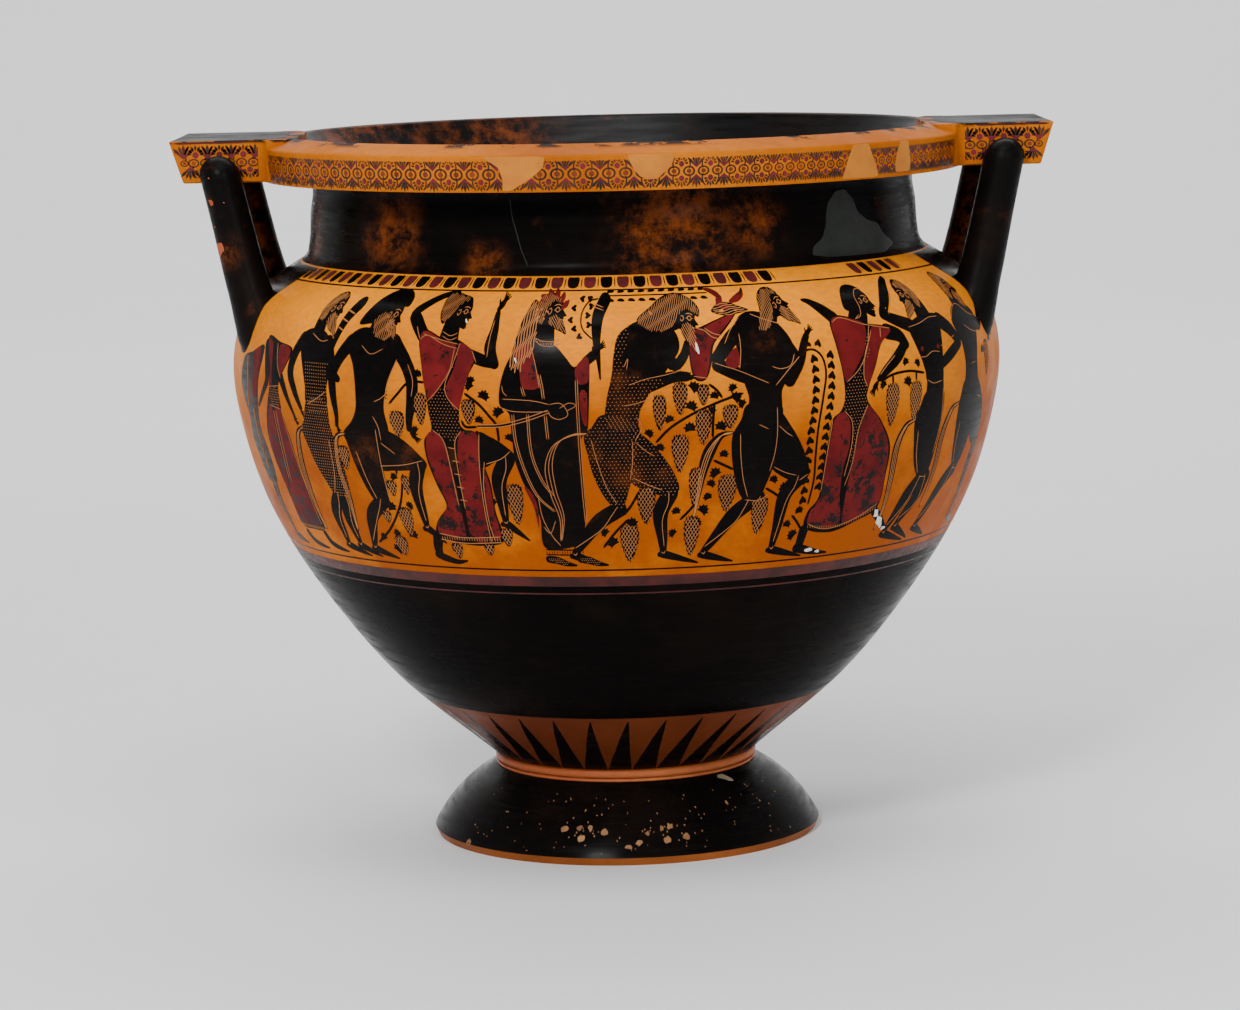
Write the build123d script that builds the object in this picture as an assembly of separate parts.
"""A large terracotta column krater: a wide-mouthed wine-mixing bowl on an echinus foot.

It is built in the pieces that a potter throws or rolls and then lutes together: foot, foot collar, bowl,
neck, rim, two handle plates and four handle columns. Plaster fills close the losses in the rim and neck.
Millimetres, +Z up, origin at the middle of the resting face, handles on the X axis, front towards -Y.
"""

import math
import os

from build123d import *

# Driving dimensions
HEIGHT = 565.0
WALL = 9.0

FOOT_R = 155.5  # widest radius of the foot, just above its reserved edge
FOOT_EDGE_Z = 4.5  # height of the reserved edge
FOOT_REST_R = 153.5
FOOT_HOLLOW_R = 134.0
FOOT_HOLLOW_BULGE = (118.0, 22.0)  # a point on the hollow's round wall
FOOT_CEILING = [(92.0, 36.0), (0.0, 40.0)]  # edge and middle of the shallow cone that closes the hollow
FOOT_TOP_R = 105.5
FOOT_TOP_Z = 56.0
FOOT_BULGE = (135.5, 34.0)  # a point on the round outer face
SPIGOT_R = 88.0  # stub of the foot that centres the collar and the bowl

COLLAR_R = 104.0
COLLAR_BEAD = 2.2  # height of the collar's thin lower bead
COLLAR_GROOVE_R = COLLAR_R - 1
COLLAR_FILLET_R = COLLAR_R + 1.6
BOWL_BASE_Z = 65.5
BOWL_BASE_R = 104.5
BOWL_SOCKET = 3.0  # depth of the recess that takes the spigot
SOCKET_Z = BOWL_BASE_Z + BOWL_SOCKET

# Outer face of the bowl between its base and its mouth, as radius and height
BELLY = [(127.5, 85), (173.5, 124), (218.9, 176), (254.4, 227), (281.2, 277.5), (300, 339), (305.5, 381),
         (301.5, 411), (290, 437), (266.5, 456)]
BOWL_MOUTH_R = 248.5
NECK_BASE_Z = 467.0

NECK_R = 240.0
NECK_INNER_R = 231.0
NECK_FLARE_Z = 490.0
NECK_MOUTH_R = 236.0  # inner radius where the neck stands on the bowl
TONGUE_DEPTH = 5.0  # luting tongue of the neck, in the bowl below and in the rim above
TONGUE_W = 4.0

RIM_Z = 531.0  # underside of the rim
RIM_R = 279.0  # top of its outer face
RIM_LOW_R = 276.5  # foot of its outer face
RIM_EDGE_Z = 557.5  # outer edge of the sloping top
RIM_CREST_R = 254.0  # crest of the top, which slopes down outwards and curves down inwards
RIM_CREST_Z = HEIGHT - 0.3  # a hair below the handle plates
RIM_EDGE = 1.6  # rounding of the rim's edges
RIM_LIP = 3.0  # height of the rounded lip inside the crest

PLATE_END_X = 345.0  # outer end of a handle plate, at its top
PLATE_LOW_X = 333.5
PLATE_HALF_Y = 72.0
PLATE_LOW_Z = 530.5
PLATE_JOIN_R = 279.5  # cylinder on which a plate is luted to the rim
PLATE_EDGE = 1.5

COLUMN_R = 16.4
COLUMN_TOP = (303.8, 80.0, 537.0)  # centre of a column's domed top
COLUMN_LEAN = 12.5  # degrees, leaning in towards the neck on its way down
COLUMN_STRAIGHT = 62.0
COLUMN_LENGTH = 152.0
COLUMN_ROOT_R = 21.5

TOOL_MARGIN = 20.0  # how far a cutting solid reaches past what it cuts

# Plaster fills in the outer face of the rim: middle angle from the front, half widths in degrees at the
# top and at the bottom, sideways lean of the bottom in degrees, and height of the lower end
RIM_FILLS = [(-13.6, 3.3, 0.5, -2.8, 531.0), (5.9, 3.5, 1.4, 0.2, 538.5),
             (42.0, 1.6, 3.9, 0.3, 531.0), (52.3, 1.3, 2.0, 0.6, 534.0)]
RIM_FILL_DEPTH = 7.0
RIM_FILL_TOP = 2.0  # how far the fills stop below the rim's upper edge
# Outline of the plaster fill in the neck, as degrees from the front and height
NECK_FILL = [(47, 521), (51.5, 527), (55, 516), (60.5, 496), (66, 474), (58, 470), (46, 472), (43.5, 484)]
NECK_FILL_DEPTH = 4.0


def lathe(*edges):
    """Solid of revolution about Z from edges drawn in the XZ plane as radius and height."""
    return revolve(Plane.XZ * make_face(list(edges)), Axis.Z)


def chain(*points):
    return Polyline(*points)


def inset(points, depth):
    """Points moved by depth to the inner side of a wall whose outer face runs upwards through them."""
    moved = []
    for k in range(1, len(points) - 1):
        (r0, z0), (r1, z1) = points[k - 1], points[k + 1]
        size = math.hypot(r1 - r0, z1 - z0)
        moved.append((points[k][0] - depth * (z1 - z0) / size, points[k][1] + depth * (r1 - r0) / size))
    return moved


def belly_curve():
    return Spline((BOWL_BASE_R, BOWL_BASE_Z), *BELLY, (BOWL_MOUTH_R, NECK_BASE_Z))


def make_foot():
    outer = ThreePointArc((FOOT_TOP_R, FOOT_TOP_Z), FOOT_BULGE, (FOOT_R, FOOT_EDGE_Z))
    below = chain((FOOT_R, FOOT_EDGE_Z), (FOOT_REST_R, 0), (FOOT_HOLLOW_R, 0))
    hollow = ThreePointArc((FOOT_HOLLOW_R, 0), FOOT_HOLLOW_BULGE, FOOT_CEILING[0])
    spigot = [(0, SOCKET_Z), (SPIGOT_R, SOCKET_Z), (SPIGOT_R, FOOT_TOP_Z)]
    return lathe(outer, below, hollow, chain(*FOOT_CEILING, *spigot, (FOOT_TOP_R, FOOT_TOP_Z)))


def make_collar():
    """Moulded ring round the spigot: a thin bead below a broader round fillet."""
    step = FOOT_TOP_Z + COLLAR_BEAD
    low, groove, high = [(COLLAR_GROOVE_R, z) for z in (FOOT_TOP_Z, step, BOWL_BASE_Z)]
    bead = ThreePointArc(low, (COLLAR_R, FOOT_TOP_Z + COLLAR_BEAD / 2), groove)
    fillet = ThreePointArc(groove, (COLLAR_FILLET_R, (step + BOWL_BASE_Z) / 2), high)
    back = chain(high, (SPIGOT_R, BOWL_BASE_Z), (SPIGOT_R, FOOT_TOP_Z), low)
    return lathe(bead, fillet, back)


def make_bowl():
    bottom = (BOWL_BASE_R, BOWL_BASE_Z)
    mouth_edge = (BOWL_MOUTH_R, NECK_BASE_Z)
    floor_z = SOCKET_Z + WALL
    inner_low = (BOWL_BASE_R - WALL / 2, floor_z)
    inner_top = (NECK_MOUTH_R, NECK_BASE_Z - WALL)
    inner = Spline(inner_low, *inset([bottom, *BELLY, mouth_edge], WALL), inner_top)
    mouth = chain(mouth_edge, (NECK_MOUTH_R, NECK_BASE_Z), inner_top)
    socket = [(0, SOCKET_Z), (SPIGOT_R, SOCKET_Z), (SPIGOT_R, BOWL_BASE_Z)]
    base = chain(inner_low, (0, floor_z), *socket, bottom)
    return lathe(belly_curve(), mouth, inner, base) - neck_tongue(NECK_BASE_Z - TONGUE_DEPTH)


def neck_tongue(z):
    """Ring that keys the neck into the bowl below it or into the rim above it."""
    middle = (NECK_R + NECK_INNER_R) / 2 if z > NECK_FLARE_Z else (BOWL_MOUTH_R + NECK_MOUTH_R) / 2
    ring = Cylinder(middle + TONGUE_W / 2, TONGUE_DEPTH) - Cylinder(middle - TONGUE_W / 2, TONGUE_DEPTH)
    return Pos(0, 0, z + TONGUE_DEPTH / 2) * ring


def make_neck():
    outer = Line((NECK_R, RIM_Z), (NECK_R, NECK_FLARE_Z))
    flare = Spline((NECK_R, NECK_FLARE_Z), (BOWL_MOUTH_R, NECK_BASE_Z), tangents=[(0, -1), (1, -1.6)])
    inner = Spline((NECK_MOUTH_R, NECK_BASE_Z), (NECK_INNER_R, NECK_FLARE_Z), tangents=[(-1, 2), (0, 1)])
    foot = Line((BOWL_MOUTH_R, NECK_BASE_Z), (NECK_MOUTH_R, NECK_BASE_Z))
    top = chain((NECK_INNER_R, NECK_FLARE_Z), (NECK_INNER_R, RIM_Z), (NECK_R, RIM_Z))
    wall = lathe(outer, flare, foot, inner, top)
    return wall + neck_tongue(NECK_BASE_Z - TONGUE_DEPTH) + neck_tongue(RIM_Z)


def plate_slab(side):
    """Flat handle slab reaching in to the mouth, its outer end slanting inwards on the way down."""
    high = [(RIM_CREST_R, HEIGHT), (PLATE_END_X, HEIGHT)]
    low = [(PLATE_LOW_X, PLATE_LOW_Z), (RIM_CREST_R, PLATE_LOW_Z)]
    face = Plane.XZ * make_face(Polyline(*high, *low, close=True))
    slab = extrude(face, PLATE_HALF_Y, both=True)
    slab = fillet(slab.edges().filter_by(Axis.Y).group_by(Axis.X)[-1], PLATE_EDGE)
    return slab if side > 0 else Rot(0, 0, 180) * slab


def rim_core(radius):
    """Full cylinder from below the rim to above it."""
    return Pos(0, 0, (RIM_Z + HEIGHT) / 2) * Cylinder(radius, HEIGHT - RIM_Z + 2 * TOOL_MARGIN)


def make_rim():
    crest = (RIM_CREST_R + RIM_EDGE, RIM_CREST_Z)
    shoulder = (RIM_R - RIM_EDGE, RIM_EDGE_Z + RIM_EDGE * 0.3)
    brow = (RIM_R, RIM_EDGE_Z - RIM_EDGE)
    lip_low = (RIM_CREST_R - RIM_LIP, HEIGHT - RIM_LIP)
    top = Line(crest, shoulder)
    nose = ThreePointArc(shoulder, (RIM_R - RIM_EDGE / 4, RIM_EDGE_Z - RIM_EDGE / 5), brow)
    face = chain(brow, (RIM_LOW_R, RIM_Z), (NECK_INNER_R, RIM_Z))
    throat = Spline((NECK_INNER_R, RIM_Z), lip_low, tangents=[(0, 1), (0.9, 1)])
    lip = ThreePointArc(lip_low, (RIM_CREST_R - RIM_EDGE / 2, HEIGHT - RIM_EDGE / 3), crest)
    ring = lathe(top, nose, face, throat, lip)
    for side in (-1, 1):
        ring += plate_slab(side) & (rim_core(PLATE_JOIN_R) - rim_core(RIM_CREST_R + 1))
    return ring - neck_tongue(RIM_Z)


def make_column(side, end):
    """Rolled handle column with a domed top, swelling where it is luted to the shoulder."""
    diagonal = COLUMN_R * math.sqrt(0.5)
    dome = ThreePointArc((0, COLUMN_R), (diagonal, diagonal), (COLUMN_R, 0))
    shaft = Line((COLUMN_R, 0), (COLUMN_R, -COLUMN_STRAIGHT))
    root_end = (COLUMN_ROOT_R, -COLUMN_LENGTH)
    root = Spline((COLUMN_R, -COLUMN_STRAIGHT), root_end, tangents=[(0, -1), (0.05, -1)])
    back = chain(root_end, (0, -COLUMN_LENGTH), (0, COLUMN_R))
    upright = lathe(dome, shaft, root, back)
    x, y, z = COLUMN_TOP
    return Pos(side * x, end * y, z) * Rot(0, side * COLUMN_LEAN, 0) * upright


def shoulder_body():
    """The bowl's outer shape as one full solid, for cutting what is luted to it."""
    mouth = [(BOWL_MOUTH_R, NECK_BASE_Z), (0, NECK_BASE_Z)]
    base = [(0, BOWL_BASE_Z), (BOWL_BASE_R, BOWL_BASE_Z)]
    return lathe(belly_curve(), chain(*mouth, *base))


def radial_prism(outline, radius, depth):
    """Prism through a curved wall, from an outline in degrees from the front and height."""
    middle = sum(angle for angle, _ in outline) / len(outline)
    turn = math.radians(middle)
    outward = Vector(math.sin(turn), -math.cos(turn), 0)
    across = Vector(math.cos(turn), math.sin(turn), 0)
    plane = Plane(origin=outward * (radius + TOOL_MARGIN), x_dir=across, z_dir=outward)
    corners = [(radius * math.radians(angle - middle), z) for angle, z in outline]
    face = plane * make_face(Polyline(*corners, close=True))
    widest = math.radians(max(angle for angle, _ in outline) - middle)
    fall = radius * (1 - math.cos(widest))  # how far the wall curves back at the outline's side
    return extrude(face, -(TOOL_MARGIN + depth + fall))


def rim_fill_prisms():
    prisms = []
    high = RIM_EDGE_Z - RIM_FILL_TOP
    for middle, top, low, lean, z in RIM_FILLS:
        upper = [(middle - top, high), (middle + top, high)]
        lower = [(middle + lean + low, z), (middle + lean - low, z)]
        prisms.append(radial_prism(upper + lower, RIM_R, RIM_FILL_DEPTH))
    return prisms


def main():
    foot, collar, bowl, neck, rim = make_foot(), make_collar(), make_bowl(), make_neck(), make_rim()
    parts = {"foot": foot, "foot_collar": collar, "bowl": bowl}

    for k, prism in enumerate(rim_fill_prisms(), 1):
        parts[f"rim_fill_{k}"] = rim & prism
        rim -= prism
    prism = radial_prism(NECK_FILL, NECK_R, NECK_FILL_DEPTH)
    parts["neck_fill"] = neck & prism
    parts["neck"] = neck - prism
    parts["rim"] = rim

    shoulder = shoulder_body()
    for side, side_name in ((-1, "left"), (1, "right")):
        plate = plate_slab(side) - rim_core(PLATE_JOIN_R)
        for end, end_name in ((-1, "front"), (1, "back")):
            column = make_column(side, end) - shoulder
            plate -= column
            parts[f"column_{side_name}_{end_name}"] = column
        parts[f"handle_plate_{side_name}"] = plate

    os.makedirs("parts", exist_ok=True)
    for name, shape in parts.items():
        export_step(shape, f"parts/{name}.step")


main()
